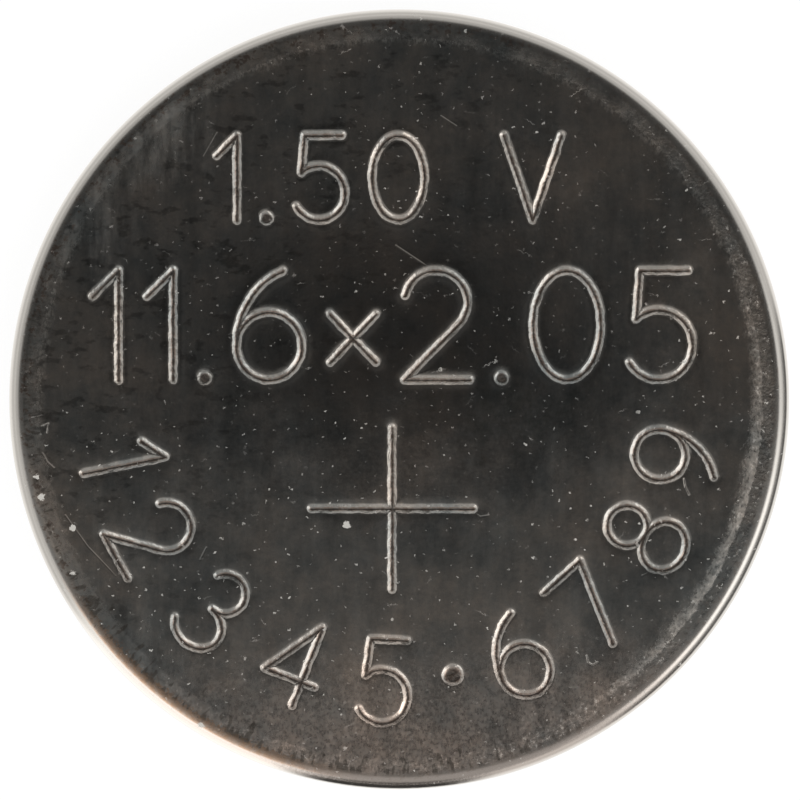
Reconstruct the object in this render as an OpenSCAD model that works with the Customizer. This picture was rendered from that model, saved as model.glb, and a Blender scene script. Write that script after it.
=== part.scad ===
// Alkaline button cell: a drawn can crimped over a nylon gasket and a folded cap,
// with the cathode, the separators and the zinc gel stacked between them.
// Millimetres. +Z up, origin at the centre of the negative contact face, on which the
// cell lies with its positive face up. Every piece is a revolve about Z.

/* [Cell] */
// Outside diameter of the can
cell_d = 11.6; // [9.5:0.1:16]
// Height over the two contact faces
cell_h = 2.05; // [1.95:0.05:4.2]

/* [Positive can] */
// Sheet thickness of the can
can_wall = 0.2; // [0.16:0.01:0.23]
// Outside radius where the positive face turns into the wall
can_edge_r = 0.3; // [0.26:0.01:0.4]
// Width of the band between the flat contact land and the outside wall
land_margin = 0.43; // [0.42:0.01:0.8]
// Fall of the face from the land to its rounded edge
land_fall = 0.012; // [0.005:0.001:0.03]

/* [Crimp] */
// Outside radius of the can where its wall is turned in
crimp_r = 0.45; // [0.44:0.01:0.5]
// Angle through which the wall is turned in
crimp_angle = 70; // [62:1:78]
// Straight length of the turned-in lip
lip_l = 0.4; // [0.3:0.01:0.46]
// Height by which the cap stands proud of the lip
cap_stand = 0.1; // [0.04:0.01:0.12]

/* [Gasket] */
// Thickness of the gasket's sleeve and lip, as squeezed
gasket_wall = 0.2; // [0.15:0.01:0.21]
// Thickness of the foot under the cap's rim
foot_t = 0.2; // [0.14:0.01:0.24]
// Width of the foot, in from the can's wall
foot_w = 0.75; // [0.55:0.01:1]
// Length of the gasket's lip that shows past the can's lip
gasket_show = 0.12; // [0.05:0.01:0.2]

/* [Negative cap] */
// Sheet thickness of the cap
cap_wall = 0.15; // [0.12:0.01:0.17]
// Distance from the can's lip in to the side of the cap
cap_gap = 0.49; // [0.38:0.01:0.8]
// Outside radius where the negative face turns into the side
cap_edge_r = 0.25; // [0.18:0.01:0.27]
// Inside radius of the bends on both sides of the shoulder
shoulder_r = 0.05; // [0.03:0.01:0.07]
// Height from the bend of the gasket's lip up to the foot, in which the folded rim stands
rim_h = 0.39; // [0.34:0.01:0.8]
// Clearance between the end of the folded rim and the bend of the gasket's lip
fold_clear = 0.06; // [0.02:0.01:0.1]
// Slot between the two layers of the folded rim
fold_gap = 0.03; // [0.01:0.01:0.05]

/* [Stack] */
// Radial play of the pellet in the can
cathode_play = 0.05; // [0.02:0.01:0.1]
// Depth of the bevel on the pellet's edge
cathode_bevel = 0.12; // [0.1:0.01:0.2]
// Thickness of the barrier film
film_t = 0.04; // [0.03:0.01:0.08]
// Radial play of the barrier film in the can
film_play = 0.1; // [0.05:0.01:0.2]
// Radial play of the absorbent pad in the gasket's foot
pad_play = 0.04; // [0.02:0.01:0.1]

/* [Hidden] */
$fn = 128;
bend_step = 7.5; // largest angle of each flat step in the bends of a section

// Radii of the walls, from the outside in
cell_r = cell_d / 2;
can_in_r = cell_r - can_wall;
sleeve_in_r = can_in_r - gasket_wall;
land_r = cell_r - land_margin;
foot_r = can_in_r - foot_w;

// Centre of the crimp's bend, and the way its lip points, in and down
lip_way = [-sin(crimp_angle), -cos(crimp_angle)];
crimp_z = cap_stand + crimp_r * sin(crimp_angle) + lip_l * cos(crimp_angle);
crimp_c = [cell_r - crimp_r, crimp_z];

// Levels of the stack, from the crimp up; the pellet fills what is left under the face
foot_z = crimp_z + rim_h;
film_z = foot_z + foot_t;
cathode_z = film_z + film_t;
can_floor_z = cell_h - can_wall;

// Middle lines of the can and the gasket, each with its own bend at the crimp
can_mid_r = cell_r - can_wall / 2;
can_bend_r = crimp_r - can_wall / 2;
gasket_mid_r = can_in_r - gasket_wall / 2;
gasket_bend_r = crimp_r - can_wall - gasket_wall / 2;
can_path = concat(
    [[0, cell_h - can_wall / 2], [land_r, cell_h - can_wall / 2]],
    [[can_mid_r, cell_h - can_wall / 2 - land_fall]],
    crimped(can_mid_r, can_bend_r, lip_l)
);
function gasket_path(top) = concat(
    [[gasket_mid_r, top]],
    crimped(gasket_mid_r, gasket_bend_r, lip_l + gasket_show)
);

// Middle line of the cap: the side, the shoulder that the gasket's lip lies on, the skirt
// and the rim folded back outside it
cap_mid_r = can_path[len(can_path) - 1][0] - cap_gap - cap_wall / 2;
rim_mid_r = sleeve_in_r - cap_wall / 2;
skirt_mid_r = rim_mid_r - cap_wall - fold_gap;
fold_bend_r = (cap_wall + fold_gap) / 2;
fold_z = foot_z - cap_wall / 2;
bend_r = shoulder_r + cap_wall / 2;
cap_bends = [cap_edge_r - cap_wall / 2, bend_r, bend_r];

// Corner where the wall turns in at the crimp, and the end of the lip beyond it
function crimped(r, bend, lip) =
    let (
        setback = bend * tan(crimp_angle / 2),
        corner = [r, crimp_z - setback]
    )
    [corner, corner + lip_way * (setback + lip)];

// Level of the shoulder's middle line at radius r: it lies along the gasket's lip
function shoulder_z(r) =
    let (
        reach = crimp_r - can_wall - gasket_wall - cap_wall / 2,
        foot = crimp_c + reach * [cos(crimp_angle), -sin(crimp_angle)]
    )
    foot[1] + (r - foot[0]) / tan(crimp_angle);

// Middle line of the cap from the axis out to its skirt, which ends at level top
function cup_path(top) = [
    [0, cap_wall / 2],
    [cap_mid_r, cap_wall / 2],
    [cap_mid_r, shoulder_z(cap_mid_r)],
    [skirt_mid_r, shoulder_z(skirt_mid_r)],
    [skirt_mid_r, top]
];

// Middle line of the whole cap, with its rim folded down outside the skirt
function cap_path() = concat(
    cup_path(fold_z),
    [[rim_mid_r, fold_z], [rim_mid_r, crimp_z + fold_clear]]
);

// Plane geometry for a bent sheet
function heading(path, i) = (path[i + 1] - path[i]) / norm(path[i + 1] - path[i]);
function left_of(v) = [-v[1], v[0]];
function turned(v, a) = [v[0] * cos(a) - v[1] * sin(a), v[0] * sin(a) + v[1] * cos(a)];
function turn_at(path, i) =
    let (a = heading(path, i - 1), b = heading(path, i))
    atan2(a[0] * b[1] - a[1] * b[0], a * b);
function reversed(list) = [for (i = [len(list) - 1 : -1 : 0]) list[i]];

// One face of a sheet, at a distance to the left of its middle line, where corner i of the
// path is bent to the middle radius bends[i - 1]
function face_line(path, bends, off) = [
    path[0] + off * left_of(heading(path, 0)),
    for (i = [1 : len(path) - 2])
        let (
            r = bends[i - 1],
            turn = turn_at(path, i),
            way = heading(path, i - 1),
            hand = sign(turn),
            centre = path[i] - way * r * tan(abs(turn) / 2) + left_of(way) * hand * r,
            steps = ceil(abs(turn) / bend_step)
        )
        for (k = [0 : steps])
            centre + turned(left_of(way) * (off - hand * r), turn * k / steps),
    path[len(path) - 1] + off * left_of(heading(path, len(path) - 2))
];

// Section of a sheet of thickness t
function sheet(path, bends, t) =
    concat(face_line(path, bends, t / 2), reversed(face_line(path, bends, -t / 2)));

// Solid of revolution of a section drawn in radius and height
module revolve(section) rotate_extrude() polygon(section);

// Disc of the stack, from level z up
module disc(r, z, t) translate([0, 0, z]) cylinder(r = r, h = t);

// Deep-drawn cup whose wall is turned in over the gasket
module positive_can()
    color("#8c8a86")
        revolve(sheet(can_path, [land_margin - can_edge_r, can_edge_r - can_wall / 2, can_bend_r], can_wall));

// Sleeve between the can and the cap, with a foot under the rim and a lip over the shoulder
module gasket()
    color("#e6e3da")
        revolve(concat(
            [[foot_r, foot_z], [foot_r, film_z]],
            face_line(gasket_path(film_z), [gasket_bend_r], gasket_wall / 2),
            reversed(face_line(gasket_path(foot_z), [gasket_bend_r], -gasket_wall / 2))
        ));

// Top-hat cap with a folded rim
module negative_cap()
    color("#b9b7b2")
        revolve(sheet(cap_path(), concat(cap_bends, [fold_bend_r, fold_bend_r]), cap_wall));

// Manganese dioxide and graphite, pressed into the can
module cathode_pellet()
    color("#26262a")
        revolve([
            [0, cathode_z],
            [can_in_r - cathode_play, cathode_z],
            [can_in_r - cathode_play, can_floor_z - cathode_bevel],
            [land_r, can_floor_z],
            [0, can_floor_z]
        ]);

// Cellulose barrier film, held at its edge by the gasket's foot
module barrier_film()
    color("#d9cfa6") disc(can_in_r - film_play, film_z, film_t);

// Fibre pad that holds the electrolyte, inside the gasket's foot
module absorbent_pad()
    color("#f2f0ea") disc(foot_r - pad_play, foot_z, foot_t);

// Zinc powder gel that fills the cap
module zinc_gel()
    color("#7d8288")
        revolve(concat(face_line(cup_path(foot_z), cap_bends, cap_wall / 2), [[0, foot_z]]));

positive_can();
gasket();
negative_cap();
cathode_pellet();
barrier_film();
absorbent_pad();
zinc_gel();
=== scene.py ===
# Alkaline button cell, positive face up: a struck nickel-plated can over a nylon gasket and a folded cap.
import math

import bmesh
import bpy
import numpy as np
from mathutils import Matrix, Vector, geometry


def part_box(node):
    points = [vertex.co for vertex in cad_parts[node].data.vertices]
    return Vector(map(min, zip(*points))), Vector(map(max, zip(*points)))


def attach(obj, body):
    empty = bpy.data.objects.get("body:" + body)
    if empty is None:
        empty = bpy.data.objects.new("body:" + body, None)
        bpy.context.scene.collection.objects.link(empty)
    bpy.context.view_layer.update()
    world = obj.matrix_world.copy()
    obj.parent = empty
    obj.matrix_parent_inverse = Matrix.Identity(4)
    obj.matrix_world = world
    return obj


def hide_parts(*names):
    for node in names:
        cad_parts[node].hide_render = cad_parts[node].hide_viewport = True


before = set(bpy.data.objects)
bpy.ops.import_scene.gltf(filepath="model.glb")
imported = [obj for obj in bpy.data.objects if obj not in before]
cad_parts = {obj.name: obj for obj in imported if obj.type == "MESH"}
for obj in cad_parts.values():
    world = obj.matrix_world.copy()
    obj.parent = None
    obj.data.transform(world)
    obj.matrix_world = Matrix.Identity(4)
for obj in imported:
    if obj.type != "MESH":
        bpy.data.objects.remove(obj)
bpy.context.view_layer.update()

mm = 0.001
scene = bpy.context.scene
scene.view_settings.view_transform = "Standard"

canSize = {
    "wall": 0.2, "edge": 0.27, "landMargin": 0.43, "landFall": 0.012, "ease": 0.06,  # face and its edge
    "crimpRadius": 0.45, "crimpAngle": 70.0, "lip": 0.4, "stand": 0.1, "cutEdge": 0.045,
    "corner": 0.02,  # inside, where the flat face starts to fall
    "segments": 256,
}
capSize = {
    "wall": 0.15, "gap": 0.49, "edge": 0.25, "shoulder": 0.05, "slot": 0.03,
    "foldClear": 0.06, "cutEdge": 0.04, "segments": 256,
}
gasketSize = {
    "wall": 0.2, "footThickness": 0.2, "footWidth": 0.75, "show": 0.12,
    "cutEdge": 0.06, "heel": 0.03, "corner": 0.02, "segments": 256,
}
joining = {"weld": 2e-7, "sliver": 1e-9, "sharp": 38.0}  # metres, metres, degrees


# Far upper corner of a node's box, in millimetres
def farCorner(node):
    return np.array(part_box(node)[1]) / mm


canRadius, _, faceLevel = farCorner("positive_can")
landRadius = canRadius - canSize["landMargin"]  # where the flat face ends
crimpAngle = math.radians(canSize["crimpAngle"])
crimpLevel = (canSize["stand"] + canSize["crimpRadius"] * math.sin(crimpAngle)
              + canSize["lip"] * math.cos(crimpAngle))  # height of the centre of the crimp's bend


# Sections and marks are worked out in millimetres.
# Turns a vector v by the angle a: (v.x cos a - v.y sin a, v.x sin a + v.y cos a)
def turned(v, a):
    return np.stack([v[0] * np.cos(a) - v[1] * np.sin(a), v[0] * np.sin(a) + v[1] * np.cos(a)], axis=-1)


# Unit vectors at equal steps round one turn: (cos u, sin u)
def compass(count):
    u = np.arange(count) * 2 * np.pi / count
    return np.stack([np.cos(u), np.sin(u)], axis=1)


# The two faces of a bent sheet: each corner of its middle line is moved by half the thickness
# times (n1 + n2) / (1 + n1.n2), where n1 and n2 are the left normals of the runs that meet there
def sheetFaces(path, thickness):
    path = np.array(path, float)
    way = np.diff(path, axis=0)
    way /= np.linalg.norm(way, axis=1)[:, None]
    normal = np.stack([-way[:, 1], way[:, 0]], axis=1)
    before, after = np.vstack([normal[:1], normal]), np.vstack([normal, normal[-1:]])
    shift = (before + after) / (1 + (before * after).sum(1))[:, None] * thickness / 2
    return path + shift, path - shift


# Rounds each corner of a section to its radius r: the arc's centre lies r tan(turn / 2) back along
# the first run and r out along its normal, and the arc is that radius turned from 0 to the turn,
# in steps of a few degrees. A guard point close to both ends of each long run lets flats shade flat
def roundCorners(corners, radii, closed, step=4.0, guard=0.012):
    corners = np.array(corners, float)
    count = len(corners)
    pieces = []
    for i in range(count):
        here = corners[i]
        if not closed and i in (0, count - 1):
            pieces.append(here[None])
            continue
        into, out = here - corners[i - 1], corners[(i + 1) % count] - here
        into, out = into / np.linalg.norm(into), out / np.linalg.norm(out)
        turn = math.atan2(into[0] * out[1] - into[1] * out[0], into @ out)
        if radii[i] <= 0 or abs(turn) < 1e-6:
            pieces.append(here[None])
            continue
        side = math.copysign(1, turn)
        normal = np.array([-into[1], into[0]])
        centre = here - into * radii[i] * math.tan(abs(turn) / 2) + normal * side * radii[i]
        steps = max(4, math.ceil(abs(math.degrees(turn)) / step))
        pieces.append(centre + turned(-normal * side * radii[i], np.linspace(0, turn, steps + 1)))
    line = np.vstack(pieces + ([pieces[0][:1]] if closed else []))
    way = np.diff(line, axis=0)
    length = np.linalg.norm(way, axis=1)
    long = length > 5 * guard
    way /= np.maximum(length, 1e-12)[:, None]
    near, far = line[:-1] + way * guard, line[1:] - way * guard
    keep = np.stack([np.ones_like(long), long, long], axis=1)
    line = np.vstack([np.stack([line[:-1], near, far], axis=1)[keep], line[-1:]])
    return line[:-1] if closed else line


# Surface of revolution of a section: x = r cos u, y = r sin u, z = z, for u from 0 to one turn
def revolve(section, closed, segments):
    around = compass(segments)
    r, z = section[:, :1], section[:, 1:]
    verts = np.stack([r * around[:, 0], r * around[:, 1], z + 0 * around[:, 0]], axis=-1).reshape(-1, 3)
    rows = len(section)
    i = np.arange(rows if closed else rows - 1)[:, None]
    j = np.arange(segments)[None]
    a, b = i * segments + j, i * segments + (j + 1) % segments
    c, d = (i + 1) % rows * segments + (j + 1) % segments, (i + 1) % rows * segments + j
    return verts, np.stack([a, d, c, b], axis=-1).reshape(-1, 4)


# Puts arrays of points and faces, in millimetres, into one closed piece
def makePiece(name, parts):
    mesh = bpy.data.meshes.new(name)
    work = bmesh.new()
    for verts, faces in parts:
        patch = bpy.data.meshes.new("patch")
        patch.from_pydata((verts * mm).tolist(), [], faces.tolist())
        work.from_mesh(patch)
        bpy.data.meshes.remove(patch)
    bmesh.ops.remove_doubles(work, verts=work.verts, dist=joining["weld"])
    bmesh.ops.dissolve_degenerate(work, edges=work.edges, dist=joining["sliver"])
    bmesh.ops.recalc_face_normals(work, faces=work.faces)
    work.to_mesh(mesh)
    work.free()
    mesh.shade_smooth()
    mesh.set_sharp_from_angle(angle=math.radians(joining["sharp"]))
    piece = bpy.data.objects.new(name, mesh)
    scene.collection.objects.link(piece)
    print(name, len(mesh.vertices), "points", len(mesh.polygons), "faces")
    return piece


# Points of an oval arc: centre + (rx cos a, ry sin a), for a from start to end in degrees, 8 degrees apart
def oval(x, y, rx, ry, start=0.0, end=360.0):
    a = np.radians(np.linspace(start, end, max(8, int(abs(end - start) / 8) + 1)))
    return np.stack([x + rx * np.cos(a), y + ry * np.sin(a)], axis=1)


def run(*points):
    return np.array(points, float)


# Plain numerals of unit height, each a width and its strokes
numerals = {
    "0": (0.62, [oval(0.31, 0.5, 0.31, 0.5)]),
    "1": (0.24, [run((0, 0.76), (0.24, 1), (0.24, 0))]),
    "2": (0.6, [np.vstack([oval(0.29, 0.71, 0.29, 0.29, 168, -38), run((0, 0), (0.6, 0))])]),
    "3": (0.58, [np.vstack([oval(0.28, 0.76, 0.24, 0.24, 155, -90), oval(0.28, 0.26, 0.3, 0.26, 90, -155)])]),
    "4": (0.64, [run((0.47, 0), (0.47, 1), (0, 0.3), (0.64, 0.3))]),
    "5": (0.58, [np.vstack([run((0.54, 1), (0.1, 1)), oval(0.27, 0.32, 0.31, 0.32, 132, -150)])]),
    "6": (0.6, [oval(0.3, 0.31, 0.3, 0.31), oval(0.62, 0.31, 0.62, 0.72, 180, 108)]),
    "7": (0.58, [run((0, 1), (0.58, 1), (0.2, 0))]),
    "8": (0.6, [oval(0.3, 0.76, 0.24, 0.24), oval(0.3, 0.26, 0.3, 0.26)]),
    "9": (0.6, [oval(0.3, 0.69, 0.3, 0.31), oval(-0.02, 0.69, 0.62, 0.72, 0, -72)]),
    "V": (0.68, [run((0, 1), (0.34, 0), (0.68, 1))]),
    "x": (0.42, [run((0, 0.16), (0.42, 0.6)), run((0, 0.6), (0.42, 0.16))]),
    ".": (0.06, []),
    " ": (0.3, []),
}

marks = {
    "halfWidth": 0.075, "slope": 0.575, "nose": 0.015, "shoulder": 0.014,  # groove, rounded below and above
    "sag": 0.0034, "sagFrom": 0.08, "sagWidth": 0.1,  # metal drawn down beside it: depth, start and width
    "tremble": 0.0016, "tear": 0.0003,  # how far the tool strays slowly, and its walls quickly
    "uneven": 0.032, "unevenPace": 0.3,  # how much its depth changes, and how slowly
    "beside": (0.008, 0.017, 0.028, 0.045, 0.059, 0.067, 0.075, 0.083, 0.093, 0.108, 0.14, 0.19),
    "spacing": 0.037,  # points along a stroke, and beside it at the distances above
    "top": {"text": "1.50 V", "x": -0.15, "base": 2.655, "height": 1.255, "gap": 0.4},
    "middle": {"text": "11.6x2.05", "x": -0.1, "base": 0.285, "height": 1.62, "gap": 0.42},
    "arc": {"text": "12345.6789", "radius": 4.81, "height": 1.24,
            "angles": (191.5, 209.0, 228.5, 248.5, 267.0, 281.0, 295.0, 312.5, 331.0, 348.0)},
    "plus": {"x": -0.105, "y": -1.625, "arm": 1.2},
    "point": 0.12, "pointLift": 0.03, "dot": 0.175, "dotLift": 0.52,  # round recesses: radii and places
}
slowWaves = ((13, 5, 0), (-9, 19, 1.3), (23, 15, 2.1), (-21, 29, 0))  # per millimetre of x and y, and a start
quickWaves = ((53, 39, 0), (-43, 61, 0.7), (47, -71, 1.9), (83, 31, 2.6))

recess = {
    "flat": 0.5,  # share of its radius that is level
    "angles": 28, "rings": (0.1, 0.9, 8),  # points round it, and rings of them as shares of its radius
    "beside": (-0.012, 0, 0.012, 0.03, 0.055, 0.09),  # rings near its edge
}

scratches = {
    "nose": 0.003, "shoulder": 0.002, "reach": 1.0, "spacing": 0.02, "beside": 0.01,
    "lines": [  # points, half width and slope of the sides
        (run((-5.33, -0.62), (-5.3, -0.78), (-5.22, -0.93), (-5.12, -1.02)), 0.014, 0.5),
        (run((-5.3, -0.4), (-5.2, -0.36), (-5.22, -0.5)), 0.014, 0.6),
        (run((2.78, -3.8), (2.8, -3.9), (2.87, -3.94), (2.94, -3.9)), 0.016, 0.7),
        (run((-4.28, -3.42), (-4.16, -3.5), (-4.22, -3.62)), 0.014, 0.6),
        (run((-4.95, -1.72), (-4.62, -2.18), (-4.2, -2.62)), 0.01, 0.25),
        (run((1.1, -1.66), (1.2, -1.74), (1.33, -1.72)), 0.011, 0.5),
        (run((-0.05, 2.28), (0.25, 2.08), (0.56, 1.88)), 0.009, 0.3),
        (run((0.62, 4.2), (0.85, 4.05)), 0.009, 0.3),
        (run((4.22, -1.18), (4.24, -1.3), (4.3, -1.42)), 0.018, 0.6),
        (run((3.6, -2.62), (3.9, -2.44)), 0.009, 0.35),
        (run((-2.9, 3.6), (-2.7, 3.95)), 0.009, 0.3),
        (run((-2.95, -2.38), (-2.86, -2.2)), 0.012, 0.5),
    ],
}

spread = {
    "count": 2600, "goldenAngle": 2.399963,
    "edge": 0.12, "clear": 0.21,  # how far they stay from the rim and from the marks
    "rimStep": 0.012, "plainRim": 0.03,  # between the two rings at the rim, and its width without own normals
    "merge": 1e-4,  # points closer than this are one
    "nudge": 0.0025,  # step that the slopes are measured over
}


# Strokes and points of a line of text: each numeral scaled by the height, a gap after the last
def layLine(text, x, base, height, gap):
    strokes, points, at = [], [], 0.0
    for letter in text:
        width, shapes = numerals[letter]
        strokes += [shape * height + (at, 0) for shape in shapes]
        if letter == ".":
            points.append((at + width * height / 2, marks["point"]))
        at += width * height + gap
    left, level = x - (at - gap) / 2, base + marks["pointLift"]
    dots = [(left + at, level, radius) for at, radius in points]
    return [stroke + (left, base) for stroke in strokes], dots


# Strokes set round the rim: a numeral's own middle turned to its angle, with its foot at the radius
def layArc(text, radius, height, angles):
    strokes, points = [], []
    for letter, angle in zip(text, angles):
        turn = math.radians(angle + 90)
        foot = radius * np.array([math.sin(turn), -math.cos(turn)])
        width, shapes = numerals[letter]
        strokes += [foot + turned((shape * height - (width * height / 2, 0)).T, turn) for shape in shapes]
        if letter == ".":
            points.append((*(foot * (radius - marks["dotLift"] * height) / radius), marks["dot"]))
    return strokes, points


# All that is struck into the face: strokes, and round recesses as x, y and radius
def struckMarks():
    strokes, dots = [], []
    for lay, line in ((layLine, "top"), (layLine, "middle"), (layArc, "arc")):
        drawn, points = lay(**marks[line])
        strokes, dots = strokes + drawn, dots + points
    x, y, arm = marks["plus"].values()
    return strokes + [run((x - arm, y), (x + arm, y)), run((x, y - arm), (x, y + arm))], dots


# Cuts a stroke at its sharp corners, and walks the length of each part in equal steps
def walk(stroke, spacing, sharp=0.4):
    runs = np.diff(stroke, axis=0)
    bearing = np.arctan2(runs[:, 1], runs[:, 0])
    bend = np.abs((np.diff(bearing) + np.pi) % (2 * np.pi) - np.pi)
    cuts = np.concatenate([[0], 1 + np.flatnonzero(bend > sharp), [len(stroke) - 1]])
    parts = []
    for first, last in zip(cuts[:-1], cuts[1:]):
        part = stroke[first:last + 1]
        length = np.concatenate([[0], np.cumsum(np.linalg.norm(np.diff(part, axis=0), axis=1))])
        even = np.linspace(0, length[-1], max(3, int(length[-1] / spacing) + 2))
        parts.append(np.stack([np.interp(even, length, part[:, k]) for k in (0, 1)], axis=1))
    return parts, stroke[cuts]


# Distance from points p to the nearest stroke: |p - a - t (b - a)|, t = (p - a).(b - a) / |b - a|^2
# held between 0 and 1, over all the short runs a to b
def strokeDistance(points, strokes, batch=3000):
    a = np.vstack([s[:-1] for s in strokes])
    b = np.vstack([s[1:] for s in strokes])
    ab = b - a
    square = np.maximum((ab**2).sum(1), 1e-12)
    nearest = np.empty(len(points))
    for first in range(0, len(points), batch):
        p = points[first:first + batch, None] - a
        t = np.clip((p * ab).sum(2) / square, 0, 1)
        nearest[first:first + batch] = np.sqrt(((p - t[..., None] * ab) ** 2).sum(2).min(1))
    return nearest


# Points on both sides of every stroke at each given distance, and round its ends and corners;
# those that lie nearer to another stroke are dropped
def strokePoints(strokes, distances, spacing, around=20, slack=0.002):
    found = []
    for stroke in strokes:
        parts, corners = walk(stroke, spacing)
        line = np.vstack(parts)
        way = np.vstack([np.gradient(part, axis=0) for part in parts])
        way /= np.maximum(np.linalg.norm(way, axis=1), 1e-9)[:, None]
        normal = np.stack([-way[:, 1], way[:, 0]], axis=1)
        found.append(np.column_stack([line, np.zeros(len(line))]))
        for d in distances:
            ring = corners[:, None] + d * compass(around)
            sides = np.vstack([line + normal * d, line - normal * d, ring.reshape(-1, 2)])
            found.append(np.column_stack([sides, np.full(len(sides), d)]))
    found = np.vstack(found)
    true = strokeDistance(found[:, :2], strokes)
    return found[np.abs(true - found[:, 2]) < slack][:, :2]


# Sum of sin(a x + b y + c) over waves of a, b and c
def ripple(points, waves):
    return sum(np.sin(a * points[:, 0] + b * points[:, 1] + c) for a, b, c in waves)


# Depth of a cut at distance d from its stroke: slope times the softened step of
# sqrt(half^2 + nose^2) - sqrt(d^2 + nose^2), where the step goes from 0 to itself over twice the shoulder,
# and the metal drawn down with it, sag exp(-u^2) with u = (d - half + sagFrom) / sagWidth
def cutDepth(d, half, slope, nose, shoulder, sag=0.0):
    t = math.hypot(half, nose) - np.sqrt(d**2 + nose**2)
    cut = slope * np.where(t < shoulder, np.clip(t + shoulder, 0, None) ** 2 / (4 * shoulder), t)
    return cut + sag * np.exp(-((d - half + marks["sagFrom"]) / marks["sagWidth"]) ** 2)


# Depth of the whole face at points: the deepest of grooves, round recesses and scratches
def sunk(points, strokes, dots):
    shape = marks["slope"], marks["nose"], marks["shoulder"], marks["sag"]
    shake = marks["tremble"] * ripple(points, slowWaves) + marks["tear"] * ripple(points, quickWaves)
    away = np.clip(strokeDistance(points, strokes) + shake, 0, None)
    changing = 1 + marks["uneven"] * ripple(points * marks["unevenPace"], slowWaves)
    depth = cutDepth(away, marks["halfWidth"], *shape) * changing
    for x, y, radius in dots:
        level = recess["flat"] * radius
        gone = np.clip(np.hypot(points[:, 0] - x, points[:, 1] - y) - level + shake, 0, None)
        depth = np.maximum(depth, cutDepth(gone, radius - level, *shape))
    for line, halfWidth, slope in scratches["lines"]:
        near = np.abs(points - line.mean(0)).max(1) < scratches["reach"]
        away = strokeDistance(points[near], [line])
        cut = cutDepth(away, halfWidth, slope, scratches["nose"], scratches["shoulder"])
        depth[near] = np.maximum(depth[near], cut)
    return depth


# Points of the face: close together beside the marks, two rings at the rim, and a sunflower's pattern
# between them, whose radius is the root of i / n and whose angle is i times the golden angle
def facePoints(strokes, dots):
    lines = scratches["lines"]
    points = [strokePoints(strokes, marks["beside"], marks["spacing"])]
    for line, halfWidth, _ in lines:
        beside = (halfWidth * 0.5, halfWidth, halfWidth + scratches["beside"])
        points.append(strokePoints([line], beside, scratches["spacing"]))
    for x, y, radius in dots:
        rings = np.concatenate([radius * np.linspace(*recess["rings"]), radius + np.array(recess["beside"])])
        points.append(((x, y) + rings[:, None, None] * compass(recess["angles"])).reshape(-1, 2))
    i = np.arange(spread["count"])
    reach = (landRadius - spread["edge"]) * np.sqrt((i + 0.5) / len(i))
    angle = i * spread["goldenAngle"]
    between = np.stack([reach * np.cos(angle), reach * np.sin(angle)], axis=1)
    clear = strokeDistance(between, strokes + [line for line, _, _ in lines]) > spread["clear"]
    points = np.vstack(points + [between[clear]])
    rim, step = compass(canSize["segments"]), spread["rimStep"]
    inside = np.hypot(*points.T) < landRadius - 2 * step
    return np.vstack([points[inside], rim * landRadius, rim * (landRadius - step)])


# Middle line of a crimped sheet below its straight wall at radius r: the corner, and the end of its lip,
# in and down along the crimp's slope
def crimpRun(r, bend, lip):
    way = np.array([-math.sin(crimpAngle), -math.cos(crimpAngle)])
    setback = bend * math.tan(crimpAngle / 2)
    corner = np.array([r, crimpLevel - setback])
    return [corner, corner + way * (setback + lip)]


# Section of the can from the end of its flat face down to the cut edge of its lip, and back inside.
# The face ends in an easy bend, whose corner is moved out by the bend's tangent, ease = r tan(turn / 2)
def canSection():
    wall, half, ease = canSize["wall"], canSize["wall"] / 2, canSize["ease"]
    bend = canSize["crimpRadius"] - half
    turnedIn = crimpRun(canRadius - half, bend, canSize["lip"])
    level = faceLevel - half
    path = [(0, level), (landRadius, level), (canRadius - half, level - canSize["landFall"])] + turnedIn
    outer, inner = sheetFaces(path, wall)
    outer[1, 0] = landRadius  # where the flat face is joined on
    turn = math.atan2(faceLevel - outer[2, 1], outer[2, 0] - outer[1, 0] - ease)
    corners = np.vstack([outer[1:2], outer[1:2] + (ease, 0), outer[2:], inner[::-1]])
    down = [0, 0.98 * ease / math.tan(turn / 2), canSize["edge"], bend + half, canSize["cutEdge"]]
    back = [canSize["cutEdge"], bend - half, canSize["edge"] - wall, canSize["corner"], 0]
    return roundCorners(corners, down + back, False)


def makeCan():
    strokes, dots = struckMarks()
    loose = [Vector(p) for p in facePoints(strokes, dots)]
    flat, _, faces, _, _, _ = geometry.delaunay_2d_cdt(loose, [], [], 0, spread["merge"], False)
    flat = np.array([tuple(p) for p in flat])
    depth = sunk(flat, strokes, dots)
    depth[np.hypot(*flat.T) > landRadius - 1.5 * spread["rimStep"]] = 0
    face = np.column_stack([flat, faceLevel - depth]), np.array([tuple(f) for f in faces])
    piece = makePiece("canShell", [revolve(canSection(), False, canSize["segments"]), face])

    # normals of the face from the slopes of its depth, (dh/dx, dh/dy, 1) made unit length
    places = np.empty(len(piece.data.vertices) * 3)
    piece.data.vertices.foreach_get("co", places)
    places = places.reshape(-1, 3) / mm
    inside = np.hypot(places[:, 0], places[:, 1]) < landRadius - spread["plainRim"]
    onFace = inside & (places[:, 2] > faceLevel - 0.9 * canSize["wall"])
    flat, nudge = places[onFace, :2], spread["nudge"]
    slope = [(sunk(flat + step, strokes, dots) - sunk(flat - step, strokes, dots)) / (2 * nudge)
             for step in (np.array([nudge, 0]), np.array([0, nudge]))]
    normal = np.column_stack([*slope, np.ones(len(flat))])
    normals = np.zeros_like(places)
    normals[onFace] = normal / np.linalg.norm(normal, axis=1)[:, None]
    piece.data.normals_split_custom_set_from_vertices(normals.tolist())
    return piece


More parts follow.
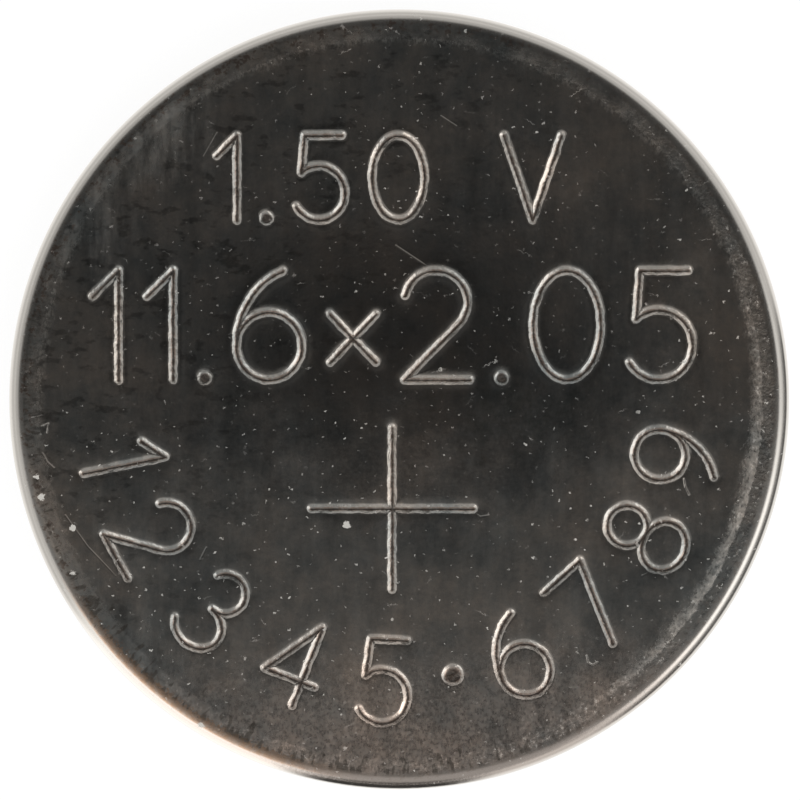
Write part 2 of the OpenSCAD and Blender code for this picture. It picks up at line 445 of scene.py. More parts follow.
def makeCap():
    high = farCorner("negative_cap")
    half, canWall = capSize["wall"] / 2, canSize["wall"]
    lipEnd = crimpRun(canRadius - canWall / 2, canSize["crimpRadius"] - canWall / 2, canSize["lip"])[1][0]
    side = lipEnd - capSize["gap"] - half
    rim = high[0] - half
    skirt = rim - capSize["wall"] - capSize["slot"]
    fold = (capSize["wall"] + capSize["slot"]) / 2
    reach = canSize["crimpRadius"] - canWall - gasketSize["wall"] - half
    lineStart = canRadius - canSize["crimpRadius"] + reach * math.cos(crimpAngle)
    lineLevel = crimpLevel - reach * math.sin(crimpAngle)

    # level of the shoulder at radius r: along the gasket's lip, which rises by 1 / tan(crimpAngle)
    def shoulder(r):
        return lineLevel + (r - lineStart) / math.tan(crimpAngle)

    crown = high[2] - half
    path = [(0, half), (side, half), (side, shoulder(side)), (skirt, shoulder(skirt)), (skirt, crown),
            (rim, crown), (rim, crimpLevel + capSize["foldClear"])]
    left, right = sheetFaces(path, capSize["wall"])
    edge, bend, cut = capSize["edge"], capSize["shoulder"], capSize["cutEdge"]
    out = [0, edge, bend, bend + 2 * half, fold - half, fold - half, cut]
    back = [0, edge - 2 * half, bend + 2 * half, bend, fold + half, fold + half, cut]
    section = roundCorners(np.vstack([right, left[::-1]]), out + back[::-1], False)
    return makePiece("capShell", [revolve(section, False, capSize["segments"])])


def makeGasket():
    high = farCorner("gasket")
    half = gasketSize["wall"] / 2
    bend = canSize["crimpRadius"] - canSize["wall"] - half
    foot, heel = high[2] - gasketSize["footThickness"], high[0] - gasketSize["footWidth"]
    turnedIn = crimpRun(high[0] - half, bend, canSize["lip"] + gasketSize["show"])
    outer, inner = sheetFaces([(high[0] - half, high[2])] + turnedIn, gasketSize["wall"])
    inner[0, 1] = foot
    corners = np.vstack([[(heel, foot), (heel, high[2])], outer, inner[::-1]])
    soft, corner, cut = gasketSize["heel"], gasketSize["corner"], gasketSize["cutEdge"]
    section = roundCorners(corners, [soft, soft, corner, bend + half, cut, cut, bend - half, corner], True)
    return makePiece("gasketRing", [revolve(section, True, gasketSize["segments"])])


can, cap, gasket = makeCan(), makeCap(), makeGasket()
for piece, node in ((can, "positive_can"), (cap, "negative_cap"), (gasket, "gasket")):
    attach(piece, "root")
    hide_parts(node)
print("metal and gasket made")


# Builds the nodes of a shader tree; most calls return a socket. Places are read in millimetres
class Nodes:
    def __init__(self, owner):
        owner.use_nodes = True
        self.owner, self.tree = owner, owner.node_tree
        self.tree.nodes.clear()

    def add(self, kind, inputs=None, **settings):
        node = self.tree.nodes.new(kind)
        for key, value in settings.items():
            setattr(node, key, value)
        for key, value in (inputs or {}).items():
            if isinstance(value, bpy.types.NodeSocket):
                self.tree.links.new(value, node.inputs[key])
            elif isinstance(value, tuple) and len(value) == 3 and node.inputs[key].type == "RGBA":
                node.inputs[key].default_value = (*value, 1.0)
            else:
                node.inputs[key].default_value = value
        return node

    # One operation on the first two values, then on that and the third, and so on
    def calc(self, operation, *values):
        result = values[0]
        for value in values[1:]:
            result = self.add("ShaderNodeMath", {0: result, 1: value}, operation=operation).outputs[0]
        return result

    def times(self, *values):
        return self.calc("MULTIPLY", *values)

    def plus(self, *values):
        return self.calc("ADD", *values)

    def minus(self, *values):
        return self.calc("SUBTRACT", *values)

    def most(self, *values):
        return self.calc("MAXIMUM", *values)

    def of(self, operation, value):
        return self.add("ShaderNodeMath", {0: value}, operation=operation).outputs[0]

    # From start to end, softly, as the value goes from low to high
    def ramp(self, value, low, high, start=0.0, end=1.0, kind="SMOOTHSTEP"):
        span = {"Value": value, "From Min": low, "From Max": high, "To Min": start, "To Max": end}
        return self.add("ShaderNodeMapRange", span, interpolation_type=kind).outputs[0]

    def window(self, value, low, high, soft):
        rise = self.ramp(value, low - soft, low + soft)
        return self.times(rise, self.ramp(value, high + soft, high - soft))

    def place(self):
        here = self.add("ShaderNodeTexCoord").outputs["Object"]
        return self.add("ShaderNodeMapping", {"Vector": here, "Scale": (1 / mm, 1 / mm, 1 / mm)}).outputs[0]

    def moved(self, place, shift=(0, 0, 0), turn=0.0, scale=(1, 1, 1), tilt=0.0):
        how = {"Vector": place, "Location": shift, "Rotation": (tilt, tilt, turn), "Scale": scale}
        return self.add("ShaderNodeMapping", how).outputs[0]

    def vector(self, operation, a, b):
        how = {0: a, "Scale" if operation == "SCALE" else 1: b}
        return self.add("ShaderNodeVectorMath", how, operation=operation).outputs[0]

    def joined(self, x, y=0.0, z=0.0):
        return self.add("ShaderNodeCombineXYZ", {"X": x, "Y": y, "Z": z}).outputs[0]

    def parts(self, vector):
        return self.add("ShaderNodeSeparateXYZ", {0: vector}).outputs

    # Distance sqrt(x^2 + y^2)
    def reach(self, x, y):
        return self.of("SQRT", self.plus(self.times(x, x), self.times(y, y)))

    def noise(self, place, scale, detail=3.0, rough=0.55, lean=0.0, output="Fac"):
        how = {"Vector": place, "Scale": scale, "Detail": detail, "Roughness": rough, "Distortion": lean}
        return self.add("ShaderNodeTexNoise", how).outputs[output]

    def cells(self, place, scale):
        how = {"Vector": place, "Scale": scale}
        return self.add("ShaderNodeTexVoronoi", how, voronoi_dimensions="2D").outputs

    def blend(self, amount, a, b):
        return self.add("ShaderNodeMix", {0: amount, 6: a, 7: b}, data_type="RGBA").outputs[2]

    def bump(self, height, strength, distance, normal=None):
        inputs = {"Height": height, "Strength": strength, "Distance": distance}
        if normal:
            inputs["Normal"] = normal
        return self.add("ShaderNodeBump", inputs).outputs[0]

    def shade(self, inputs):
        surface = self.add("ShaderNodeBsdfPrincipled", inputs).outputs[0]
        self.add("ShaderNodeOutputMaterial", {"Surface": surface})
        return self.owner


def newMaterial(name):
    return Nodes(bpy.data.materials.new(name))


def dress(piece, material):
    piece.data.materials.clear()
    piece.data.materials.append(material)


# Depths are below the face and insets in from the can's side, in millimetres; ways are directions x, y
nickel = {
    "faceDepth": (0.2, 0.06), "flatDepth": (canSize["landFall"], 0.001),  # where they begin and are full
    "bandInset": (0.2, 0.28),  # likewise, between the flat and the rounded edge
    "clean": (0.65, 0.61, 0.555), "bare": (0.675, 0.64, 0.59), "bareInset": (0.16, 0.25),  # sheet and edge
    "brown": (0.4, 0.3, 0.24), "dirt": (0.024, 0.033),  # dirt in the grooves, and the depths it starts at
    "cloud": 2.1, "smearAndReflection": 0.8, "tint": (0.6, 0.0, -0.4),  # how the film and painted reflection change brightness, and the film's colours
    "darkSpotWay": (1.0, -0.8), "darkSpots": (0.06, 0.36),  # dark spots, and their strength at either end of their way
    "wiped": (-0.3, 1.2, 0.5, 0.8, 2.3), "cloudLeft": 0.65,  # wiped middle: place, flatness, start and end
    "footWay": (0.06, -0.99), "footTint": (0.08, 0.0, -0.03), "footPeel": 0.3,  # foot of the face
    "polish": 0.07, "veil": 0.36, "low": 0.3, "haze": 0.24,  # roughness of clean metal, and what films add
    "groove": 0.22, "ring": 0.68, "orangeBrownRough": 0.36, "dusty": 0.8,  # roughness there
    "smudges": [  # place, radius, strength
        (-3.7, 4.0, 1.4, 0.6), (-4.6, 2.6, 1.0, 0.45), (2.2, -4.4, 1.5, 0.2), (-3.75, -3.8, 1.1, 0.4),
    ],
    "ringWay": (0.88, -0.47), "ringWidth": 0.28, "paintedRingHighlight": (0.76, 0.66, 0.56), "paintedHighlightShare": 0.22,  # dull ring, and a pale colour painted on its right as a highlight, with its strength
    "dust": (0.74, 0.72, 0.67), "wander": 0.1,  # and how far its outlines are torn
    "specks": [(1.4, 0.03, 0.75), (2.9, 0.021, 0.45), (4.8, 0.014, 0.5)],  # cells, radius, empty share
    "grains": [  # place, radius
        (-5.31, -1.45, 0.05), (-4.84, -1.91, 0.045), (-4.84, -2.58, 0.04),
        (-0.78, -1.86, 0.05), (-5.38, -1.15, 0.035), (-2.94, -4.83, 0.045),
    ],
    "orangeBrown": (0.68, 0.46, 0.32), "orangeBrownWay": (-0.57, -0.82), "orangeBrownInset": (0.11, 0.135, 0.24, 0.3),  # orange-brown tint on the edge
    "jag": (0.2, 0.17, 0.14), "jagWay": (-0.5, -0.87), "jagInset": (0.2, 0.26, 0.24, 0.75),  # torn edge
    "gritInset": (0.18, 0.34, 0.03), "flakeInset": (0.24, 0.52, 0.05), "flaked": 0.3,  # from, to, soft edge
    "peel": 4e-6,  # height of the bumps, in metres
}


# The can's plating: each method works out one of its traits, most as an amount from 0 to 1
class CanNickel(Nodes):
    def __init__(self, name):
        super().__init__(bpy.data.materials.new(name))
        self.spot = self.place()
        self.x, self.y, z = self.parts(self.spot)
        self.radius = self.reach(self.x, self.y)
        self.inset, self.depth = self.minus(canRadius, self.radius), self.minus(faceLevel, z)
        self.onFace = self.ramp(self.depth, *nickel["faceDepth"])  # grooves and edge too, but not the wall
        self.onFlat = self.ramp(self.depth, *nickel["flatDepth"])
        self.onLand = self.ramp(self.radius, landRadius, landRadius - 0.05)
        within = self.ramp(self.inset, *nickel["bandInset"])
        self.band = self.times(self.minus(within, self.onLand), self.onFace)
        self.grain = self.noise(self.spot, 14, 3, 0.6)
        self.fine = self.noise(self.moved(self.spot, turn=-0.5, scale=(1, 0.5, 1)), 34, 3, 0.7)
        self.mixed = self.plus(self.times(self.grain, 0.5), self.times(self.fine, 0.5))
        self.smearAndReflection = self.noise(self.moved(self.spot, turn=0.3, scale=(3.0, 0.55, 1)), 1.0, 4, 0.7)
        self.foot = self.ramp(self.toward(nickel["footWay"]), 3.1, 5.2)
        self.aside = self.toward(nickel["ringWay"])
        x, y, flatness, start, end = nickel["wiped"]
        away = self.reach(self.times(self.minus(self.x, x), flatness), self.minus(self.y, y))
        self.wiped = self.ramp(away, start, end)  # 0 where it is wiped clean
        rays = self.joined(self.over(self.x), self.over(self.y), self.times(self.radius, 0.3))
        self.spokes = self.noise(rays, 30, 4, 0.75)
        torn = self.vector("ADD", self.noise(self.spot, 22, 2, output="Color"), (-0.5, -0.5, -0.5))
        self.ragged = self.vector("ADD", self.spot, self.vector("SCALE", torn, nickel["wander"]))
        self.raggedInset = self.minus(self.inset, self.stray(20, 3, 0.65, 0.3))

    # How far a place lies along a way: x times the way's x, and y times its y
    def toward(self, way):
        return self.plus(self.times(self.x, way[0]), self.times(self.y, way[1]))

    def over(self, value):
        return self.calc("DIVIDE", value, self.radius)

    # A noise about 0, times an amount
    def stray(self, scale, detail, rough, amount):
        return self.times(self.minus(self.noise(self.spot, scale, detail, rough), 0.5), amount)

    # Tone of the sheet under its film, clean times (1 + tint) times (1 + cloud): clouds of every size, each
    # browner or cooler than the next, drawn-out smears, and dark spots that thin out to the right. Their
    # lighter and darker patches are partly the film and partly painted reflection, standing in for the room
    # mirrored in the wavy face and for light scattered by its haze
    def filmAndReflectionTone(self):
        seat = self.moved(self.spot, (3.1, 7.4, 0), 0.7, tilt=0.6)
        how = {"Vector": seat, "Scale": 0.42, "Detail": 6.5, "Roughness": 0.76}
        clouds = self.add("ShaderNodeTexNoise", how).outputs
        # partly painted reflection: these clouds and smears brighten and darken the sheet's colour in place
        # of the mirrored room
        cloud = self.plus(self.times(self.minus(clouds["Fac"], 0.5), nickel["cloud"]),
                          self.times(self.minus(self.smearAndReflection, 0.5), nickel["smearAndReflection"]))
        cloud = self.times(cloud, self.ramp(self.wiped, 0, 1, nickel["cloudLeft"], 1.0))
        spots = self.noise(self.moved(self.spot, turn=0.9, scale=(1.0, 1.9, 1)), 3.1, 3, 0.6)
        share = self.ramp(self.toward(nickel["darkSpotWay"]), 1.0, -5.0, *nickel["darkSpots"])
        cloud = self.minus(cloud, self.times(self.ramp(spots, 0.45, 0.34), share))
        warmth = self.minus(self.parts(clouds["Color"])[0], 0.5)
        tone = self.tinted(nickel["clean"], nickel["tint"], warmth)
        tone = self.vector("SCALE", tone, self.plus(cloud, 1.0))
        dirt = self.times(self.ramp(self.depth, *nickel["dirt"]), self.onLand, self.onFace)
        dirt = self.times(dirt, self.ramp(self.grain, 0.35, 0.6, 0.3, 0.8))
        tone = self.blend(dirt, tone, nickel["brown"])
        covered = self.times(self.onFace, self.ramp(self.inset, *nickel["bareInset"]))
        tone = self.blend(covered, nickel["bare"], tone)
        return self.tinted(tone, nickel["footTint"], self.times(self.foot, self.onFace))

    # tone times (1 + tint times amount)
    def tinted(self, tone, tint, amount):
        gain = self.vector("ADD", self.vector("SCALE", tint, amount), (1, 1, 1))
        return self.vector("MULTIPLY", tone, gain)

    # Dulling film, thicker towards the foot of the face, with a coarse grain there, and wiped off the middle
    def veil(self):
        grainy = self.times(self.ramp(self.mixed, 0.3, 0.74, -0.25, 0.95),
                            self.plus(self.times(self.wiped, 0.1), self.times(self.foot, 1.1)))
        haze = self.noise(self.moved(self.spot, (5.0, 1.0, 0), 0.4, tilt=0.5), 0.9, 6, 0.72)
        haze = self.times(self.ramp(haze, 0.38, 0.72, 0.0, nickel["haze"]), self.wiped)
        veil = self.plus(self.ramp(self.y, 0.8, -5.2, 0.0, nickel["low"]), grainy, haze)
        for x, y, size, strength in nickel["smudges"]:
            away = self.reach(self.minus(self.x, x), self.minus(self.y, y))
            smudge = self.ramp(away, size, 0.2 * size, 0.0, strength)
            veil = self.plus(veil, self.times(smudge, self.ramp(self.smearAndReflection, 0.35, 0.65, 0.2, 1.0)))
        onBand = self.times(self.band, self.ramp(self.spokes, 0.35, 0.7, 0.2, 0.5))
        return self.plus(self.times(self.most(veil, 0.0), self.onFlat), onBand)

    # Dull ring at the edge of the land: fades in from its inside, ends raggedly, strongest on the right
    def ring(self):
        torn = self.stray(5, 4, 0.75, 0.3)
        wide, narrow = (self.plus(self.radius, self.times(torn, share)) for share in (0.8, 0.45))
        inside = self.ramp(wide, landRadius - nickel["ringWidth"], landRadius + 0.02)
        outside = self.ramp(narrow, landRadius + 0.04, landRadius)
        side = self.ramp(self.aside, 3.0, 5.5, 0.42, 1.0)
        return self.times(inside, outside, side, self.ramp(self.mixed, 0.34, 0.62, 0.4, 1.15))

    # Pale specks in some of the cells of three patterns, fainter where less crowded, and a few grains
    def specks(self):
        lower = self.ramp(self.y, 3, -4, -0.08, 0.08)
        crowd = self.ramp(self.plus(self.noise(self.spot, 0.8, 3), lower), 0.36, 0.6, 0.35, 1.0)
        specks = 0.0
        for i, (count, biggest, empty) in enumerate(nickel["specks"]):
            cell = self.cells(self.moved(self.ragged, (i, i, 0), 0.4 * i, (1.0, 1.0 + 0.3 * i, 1)), count)
            red, green, blue = self.parts(cell["Color"])
            size = self.times(self.ramp(green, 0, 1, 0.45, 1.0, "LINEAR"), biggest * count)
            speck = self.ramp(self.minus(cell["Distance"], size), 0.004 * count, -0.004 * count)
            filled = self.calc("GREATER_THAN", red, empty)
            specks = self.most(specks, self.times(speck, filled, self.ramp(blue, 0.1, 1, 0.12, 0.75)))
        specks = self.times(specks, crowd)
        x, y, _ = self.parts(self.ragged)
        for grainX, grainY, size in nickel["grains"]:
            away = self.reach(self.minus(x, grainX), self.minus(y, grainY))
            specks = self.most(specks, self.ramp(away, size + 0.006, size - 0.006, 0.0, 0.9))
        return specks

    # A short line through the middle of some cells, each turned by an angle a: |y cos a - x sin a| across it
    # and |x cos a + y sin a| along it
    def hairlines(self):
        cell = self.cells(self.spot, 1.5)
        red, green, blue = self.parts(cell["Color"])
        x, y, _ = self.parts(self.vector("SUBTRACT", self.ragged, cell["Position"]))
        turn = self.ramp(green, 0, 1, -0.9, 0.9, "LINEAR")
        sine, cosine = self.of("SINE", turn), self.of("COSINE", turn)
        along = self.of("ABSOLUTE", self.plus(self.times(x, cosine), self.times(y, sine)))
        across = self.of("ABSOLUTE", self.minus(self.times(y, cosine), self.times(x, sine)))
        length = self.ramp(self.minus(along, self.times(blue, 0.12)), 0.02, -0.04)
        shown = self.ramp(red, 0.45, 1.0, 0.0, 0.3, "LINEAR")
        return self.times(self.ramp(across, 0.011, 0.002), length, shown)

    # Pale flakes at the edge of the face, low on the right
    def flakes(self):
        place = self.times(self.window(self.inset, *nickel["flakeInset"]), self.onFace)
        side = self.ramp(self.aside, 2.0, 4.5, 0.0, nickel["flaked"])
        flakes = self.ramp(self.plus(self.grain, self.times(self.fine, 0.6)), 0.92, 1.0)
        return self.times(flakes, place, side)

    # Orange-brown tint on the rounded edge, low on the left
    def orangeBrownEdge(self):
        sector = self.ramp(self.over(self.toward(nickel["orangeBrownWay"])), 0.86, 0.99)
        outer, outerFull, innerFull, inner = nickel["orangeBrownInset"]
        within = self.ramp(self.raggedInset, inner, innerFull)
        return self.times(sector, self.onFace, within, self.ramp(self.inset, outer, outerFull))

    # Brown grit along the edge of the face, mostly on the left
    def grit(self):
        patches = self.ramp(self.noise(self.spot, 11, 3, 0.7), 0.52, 0.6)
        side = self.ramp(self.aside, 1.0, -3.0, 0.3, 0.8)
        return self.times(patches, self.window(self.raggedInset, *nickel["gritInset"]), self.onFace, side)

    # Torn edge of the face: dark blades that point inwards, low on the left
    def jags(self):
        x = self.over(self.plus(self.x, self.times(self.y, -0.3)))
        y = self.over(self.plus(self.y, self.times(self.x, 0.3)))
        blades = self.noise(self.joined(x, y, self.plus(self.times(self.radius, 0.07), 3.0)), 44, 2, 0.6)
        outer, outerFull, wide, tip = nickel["jagInset"]
        point = self.ramp(self.inset, tip, wide, 0.74, 0.5, "LINEAR")
        jags = self.ramp(self.minus(blades, point), 0.0, 0.06)
        side = self.ramp(self.over(self.toward(nickel["jagWay"])), 0.15, 0.75, 0.0, 0.6)
        return self.times(jags, self.onFace, self.ramp(self.inset, outer, outerFull), side)

    # Bumps of the rolled sheet, coarser on the band outside the land, at the foot and in the grooves
    def relief(self):
        coarse = self.times(self.band, self.ramp(self.aside, -2.5, 2.5, 0.15, 1.0), 1.2)
        inGroove = self.times(self.minus(self.onFace, self.onFlat), self.onLand)
        amount = self.plus(coarse, self.times(self.foot, nickel["footPeel"]), inGroove, 0.05)
        height = self.minus(self.plus(self.spokes, self.noise(self.spot, 9, 3, 0.6), self.grain), 1.5)
        return self.bump(self.times(height, amount), 1.0, nickel["peel"])


def nickelFinish():
    f = CanNickel("canNickel")
    ring, orangeBrownEdge = f.ring(), f.orangeBrownEdge()
    # painted highlight: the right of the dull ring, where the brightest light falls, is made paler and less
    # metallic
    paintedHighlightShare = f.ramp(f.aside, 4.4, 5.4, 0.0, nickel["paintedHighlightShare"])
    paintedRingHighlight = f.times(ring, f.ramp(f.spokes, 0.38, 0.62, 0.3, 1.3), paintedHighlightShare)
    dust = f.most(f.times(f.most(f.specks(), f.hairlines()), f.onFace), f.flakes())
    tone = f.blend(f.times(orangeBrownEdge, f.ramp(f.grain, 0.3, 0.65, 0.5, 1.0)), f.filmAndReflectionTone(), nickel["orangeBrown"])
    for amount, colour in ((f.grit(), "brown"), (f.jags(), "jag"), (paintedRingHighlight, "paintedRingHighlight"), (dust, "dust")):
        tone = f.blend(amount, tone, nickel[colour])
    rough = f.plus(f.times(f.veil(), nickel["veil"]), nickel["polish"])
    sunken = f.minus(f.onFace, f.onFlat)
    for amount, trait in ((ring, "ring"), (sunken, "groove"), (orangeBrownEdge, "orangeBrownRough"), (dust, "dusty")):
        rough = f.most(rough, f.times(amount, nickel[trait]))
    metal = f.minus(1.0, f.times(dust, 0.8), paintedRingHighlight)
    return f.shade({"Base Color": tone, "Metallic": metal, "Roughness": rough, "Normal": f.relief()})


capLook = {"clean": (0.66, 0.64, 0.61), "dull": (0.56, 0.52, 0.47), "rough": (0.2, 0.42), "lines": 4e-6}


# Pressed sheet with dull patches and the faint rings of its tool
def capFinish():
    f = newMaterial("capNickel")
    place = f.place()
    x, y, _ = f.parts(place)
    patches, grain = f.noise(place, 0.5, 4, 0.6), f.noise(place, 30, 3, 0.6)
    tone = f.blend(f.ramp(patches, 0.4, 0.7, 0, 0.6), capLook["clean"], capLook["dull"])
    rough = f.ramp(f.plus(f.times(patches, 0.5), f.times(grain, 0.5)), 0.35, 0.7, *capLook["rough"])
    turning = f.noise(f.joined(f.times(f.reach(x, y), 6.0)), 6.0, 2, 0.5)
    normal = f.bump(grain, 0.5, 0.5 * capLook["lines"], f.bump(turning, 0.35, capLook["lines"]))
    return f.shade({"Base Color": tone, "Metallic": 1.0, "Roughness": rough, "Normal": normal})


nylonLook = {"pale": (0.83, 0.81, 0.74), "aged": (0.72, 0.68, 0.57), "rough": (0.35, 0.55),
             "soaks": 0.25, "reach": (0.0004, 0.0003, 0.0002)}  # light under the surface: share, and metres


def nylonFinish():
    f = newMaterial("gasketNylon")
    place = f.place()
    clouds, fine = f.noise(place, 1.3, 4, 0.6), f.noise(place, 22, 3, 0.6)
    tone = f.blend(f.ramp(clouds, 0.35, 0.7), nylonLook["pale"], nylonLook["aged"])
    return f.shade({"Base Color": tone, "Roughness": f.ramp(fine, 0.3, 0.7, *nylonLook["rough"]),
                    "Subsurface Weight": nylonLook["soaks"], "Subsurface Radius": nylonLook["reach"],
                    "Normal": f.bump(fine, 0.4, 4e-6)})


# Pressed or wet powder: patches of its dark and light colour, rougher between its grains, and bumped by them
def powderFinish(name, light, dark, scale, roughness, metallic, depth):
    f = newMaterial(name)
    place = f.place()
    coarse = f.noise(place, scale, 4, 0.65)
    grains = f.add("ShaderNodeTexVoronoi", {"Vector": place, "Scale": scale * 1.7}).outputs["Distance"]
    return f.shade({"Base Color": f.blend(f.ramp(coarse, 0.35, 0.7), dark, light), "Metallic": metallic,
                    "Roughness": f.ramp(grains, 0.0, 0.7, roughness - 0.12, roughness + 0.1),
                    "Normal": f.bump(grains, 0.8, depth, f.bump(coarse, 0.6, depth))})


# Three layers of strands, each a noise drawn out along its own way
def fibreFinish(name, light, dark, scale, depth):
    f = newMaterial(name)
    place = f.place()
    layers = [f.moved(place, turn=turn, scale=(scale, scale * 0.08, scale)) for turn in (0.3, 1.4, 2.5)]
    felt = f.most(*[f.noise(layer, 1.0, 2, 0.6, 0.4) for layer in layers])
    return f.shade({"Base Color": f.blend(f.ramp(felt, 0.5, 0.75), dark, light),
                    "Roughness": f.ramp(felt, 0.4, 0.8, 0.55, 0.85), "Normal": f.bump(felt, 0.7, depth)})


# What fills the cell: finish, name, light and dark colour, scale, and the rest as that finish takes it
insides = {
    "cathode_pellet": (powderFinish, "cathodeMix", (0.05, 0.05, 0.053), (0.018, 0.018, 0.02),
                       9, 0.62, 0.0, 1e-5),
    "zinc_gel": (powderFinish, "zincGel", (0.42, 0.43, 0.45), (0.2, 0.21, 0.23), 7, 0.3, 0.6, 2e-5),
    "barrier_film": (fibreFinish, "barrierCellulose", (0.8, 0.74, 0.58), (0.7, 0.63, 0.46), 14, 3e-6),
    "absorbent_pad": (fibreFinish, "padFibre", (0.88, 0.87, 0.83), (0.7, 0.69, 0.65), 10, 1e-5),
}

for piece, finish in ((can, nickelFinish), (cap, capFinish), (gasket, nylonFinish)):
    dress(piece, finish())
for node, (finish, *values) in insides.items():
    dress(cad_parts[node], finish(*values))
print("finishes laid")


# Lays a patch of brightness over light: a smooth window of azimuth times one of a second measure
def patchLight(n, light, x, y, value, middle, halfWidth, blur, low, high, soft, strength):
    a = math.radians(middle)
    ahead = n.plus(n.times(x, math.cos(a)), n.times(y, math.sin(a)))
    aside = n.minus(n.times(y, math.cos(a)), n.times(x, math.sin(a)))
    off = n.of("DEGREES", n.calc("ARCTAN2", aside, ahead))
    share = n.times(n.window(off, -halfWidth, halfWidth, blur), n.window(value, low, high, soft))
    return n.plus(n.times(light, n.minus(1.0, share)), n.times(share, strength))


stage = {
    "half": 0.6, "level": -1e-6,  # metres
    "glow": 0.86, "colour": 0.21,  # seen by the camera: an even glow, and a share of the light for its shadow
    "near": 1.12, "far": 0.68, "fade": (6.5, 14),  # mirrored by the metal: beside the cell and further off
    "patches": [  # azimuth, half width, its soft edge, radius from, radius to, soft edge, brightness
        (-125, 20, 6, 7, 90, 0.7, 1.5),
        (-92, 13, 5, 7.6, 60, 0.76, 0.05),
        (-22, 34, 6, 10, 60, 1.0, 0.13),
    ],
}


def makeFloor():
    half, level = stage["half"], stage["level"]
    corners = [(-half, -half, level), (half, -half, level), (half, half, level), (-half, half, level)]
    mesh = bpy.data.meshes.new("floor")
    mesh.from_pydata(corners, [], [(0, 1, 2, 3)])
    floor = bpy.data.objects.new("floor", mesh)
    scene.collection.objects.link(floor)
    n = newMaterial("paleFloor")
    x, y, _ = n.parts(n.place())
    away = n.reach(x, y)
    light = n.ramp(away, *stage["fade"], stage["near"], stage["far"])
    for patch in stage["patches"]:
        light = patchLight(n, light, x, y, away, *patch)
    paper = n.add("ShaderNodeBsdfDiffuse", {"Color": (stage["colour"],) * 3}).outputs[0]
    glow = n.add("ShaderNodeEmission", {"Strength": stage["glow"]}).outputs[0]
    shown = n.add("ShaderNodeAddShader", {0: paper, 1: glow}).outputs[0]
    mirrored = n.add("ShaderNodeEmission", {"Strength": light}).outputs[0]
    clear = n.add("ShaderNodeBsdfTransparent").outputs[0]
    # the object sees an even floor, the camera one with its shadow, and from below it is clear
    byCamera = n.add("ShaderNodeLightPath").outputs["Is Camera Ray"]
    fromBelow = n.add("ShaderNodeNewGeometry").outputs["Backfacing"]
    above = n.add("ShaderNodeMixShader", {0: byCamera, 1: mirrored, 2: shown}).outputs[0]
    surface = n.add("ShaderNodeMixShader", {0: fromBelow, 1: above, 2: clear}).outputs[0]
    n.add("ShaderNodeOutputMaterial", {"Surface": surface})
    mesh.materials.append(n.owner)


# Studio by direction: a dark ceiling, pale walls, and patches laid on them. Angles are from the zenith
studio = {
    "ceiling": 0.0192, "start": 49.0, "end": 62.0,  # the walls fade in between these
    "outer": (0.012, 0.055, 2.0), "front": (-0.012, -0.072, 7.0), "tilt": -0.03,  # paler outwards, in front
    "dark": (0.066, 0.122, 0.009, 0.5),  # a darker ring just beyond what the flat face mirrors
    "walls": 0.53, "lean": (0.08, -0.05),  # the walls are brighter at the front
    "horizon": (64.0, 82.0, 0.8), "below": (96.0, 150.0, 0.5),
    "patches": [  # azimuth, half width, its soft edge, zenith from, zenith to, soft edge, brightness
        (-95, 36, 8, 36, 76, 6, 0.37),
        (-4, 22, 10, 50, 70, 5, 0.95),
        (-29, 20, 9, 53, 74, 4, 1.7),
        (-22, 34, 6, 82, 95, 3, 0.22),
        (-92, 13, 5, 73, 95, 3, 0.08),
        (-125, 20, 6, 60, 95, 5, 1.5),
    ],
}


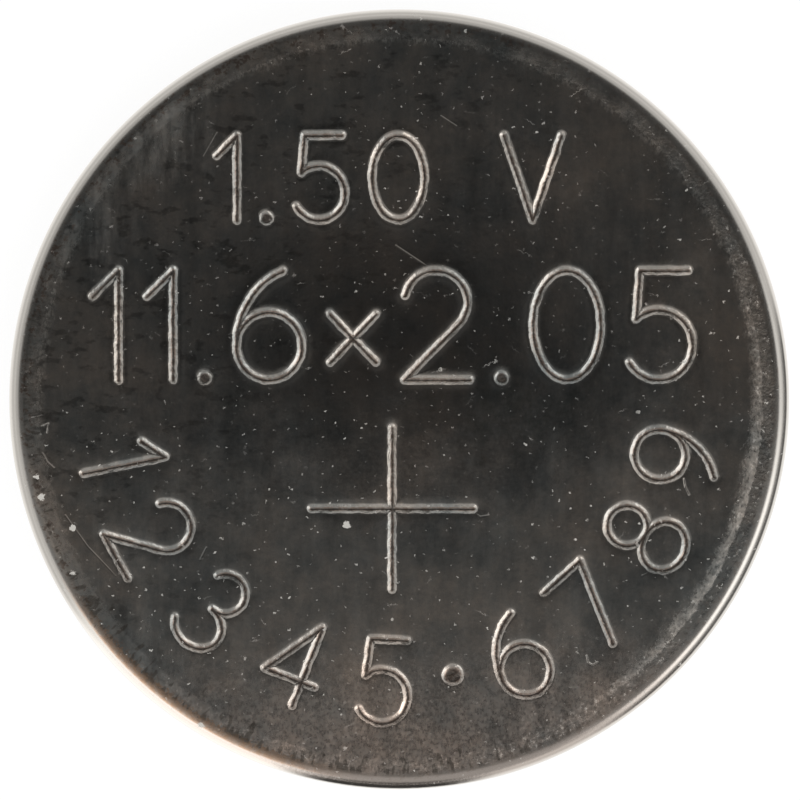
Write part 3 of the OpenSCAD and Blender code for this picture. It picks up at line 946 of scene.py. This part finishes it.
def makeStudio():
    scene.world = bpy.data.worlds.new("studio")
    n = Nodes(scene.world)
    x, y, z = n.parts(n.add("ShaderNodeTexCoord").outputs["Generated"])
    zenith = n.of("DEGREES", n.of("ARCCOSINE", z))
    reach = n.reach(x, y)

    start, end, gain = studio["outer"]
    ceiling = n.plus(1.0, n.ramp(reach, start, end, 0, gain))
    start, end, gain = studio["front"]
    ceiling = n.plus(ceiling, n.ramp(n.plus(y, n.times(x, studio["tilt"])), start, end, 0, gain))
    low, high, soft, loss = studio["dark"]
    ceiling = n.times(ceiling, n.minus(1.0, n.times(n.window(reach, low, high, soft), loss)))

    lean = studio["lean"]
    walls = n.plus(n.plus(studio["walls"], n.times(x, lean[0])), n.times(y, lean[1]))
    walls = n.times(n.ramp(zenith, studio["start"], studio["end"]), walls)
    light = n.plus(n.times(ceiling, studio["ceiling"]), walls)
    start, end, gain = studio["horizon"]
    light = n.most(light, n.ramp(zenith, start, end, 0, gain))
    for patch in studio["patches"]:
        light = patchLight(n, light, x, y, zenith, *patch)
    start, end, share = studio["below"]
    light = n.times(light, n.ramp(zenith, start, end, 1.0, share))

    # the camera sees white
    byCamera = n.add("ShaderNodeLightPath").outputs["Is Camera Ray"]
    seen = n.add("ShaderNodeMix", {0: byCamera, 2: light, 3: 1.0}, data_type="FLOAT").outputs[0]
    backdrop = n.add("ShaderNodeBackground", {"Color": (1.0, 1.0, 1.0), "Strength": seen}).outputs[0]
    n.add("ShaderNodeOutputWorld", {"Surface": backdrop})


lamp = {"place": (0.05, -0.05, 0.5), "size": 0.5, "watts": 1.6}


# Broad lamp overhead for plastic and the floor; its own shape isn't mirrored in the metal
def makeLamp():
    light = bpy.data.lights.new("overhead", "AREA")
    light.shape, light.size, light.energy = "DISK", lamp["size"], lamp["watts"]
    holder = bpy.data.objects.new("overhead", light)
    holder.location = lamp["place"]
    holder.rotation_euler = (-Vector(lamp["place"])).to_track_quat("-Z", "Y").to_euler()
    holder.visible_glossy = False
    scene.collection.objects.link(holder)


view = {  # half the width that is seen and the level where it is measured, in millimetres, and the middle
    "halfWidth": 5.949, "silhouette": 1.74, "x": 0.012, "y": -0.0105,
    "lens": 300.0, "sensor": 36.0, "clip": (0.005, 3.0),
}


# Camera above the cell, at halfWidth times lens over half the sensor from the level of the silhouette
def makeCamera():
    camera = bpy.data.cameras.new("camera")
    camera.sensor_width, camera.lens = view["sensor"], view["lens"]
    camera.clip_start, camera.clip_end = view["clip"]
    holder = bpy.data.objects.new("camera", camera)
    away = view["halfWidth"] * view["lens"] / (view["sensor"] / 2) + view["silhouette"]
    holder.location = (view["x"] * mm, view["y"] * mm, away * mm)
    scene.collection.objects.link(holder)
    scene.camera = holder


makeFloor()
makeStudio()
makeLamp()
makeCamera()
print("studio set")
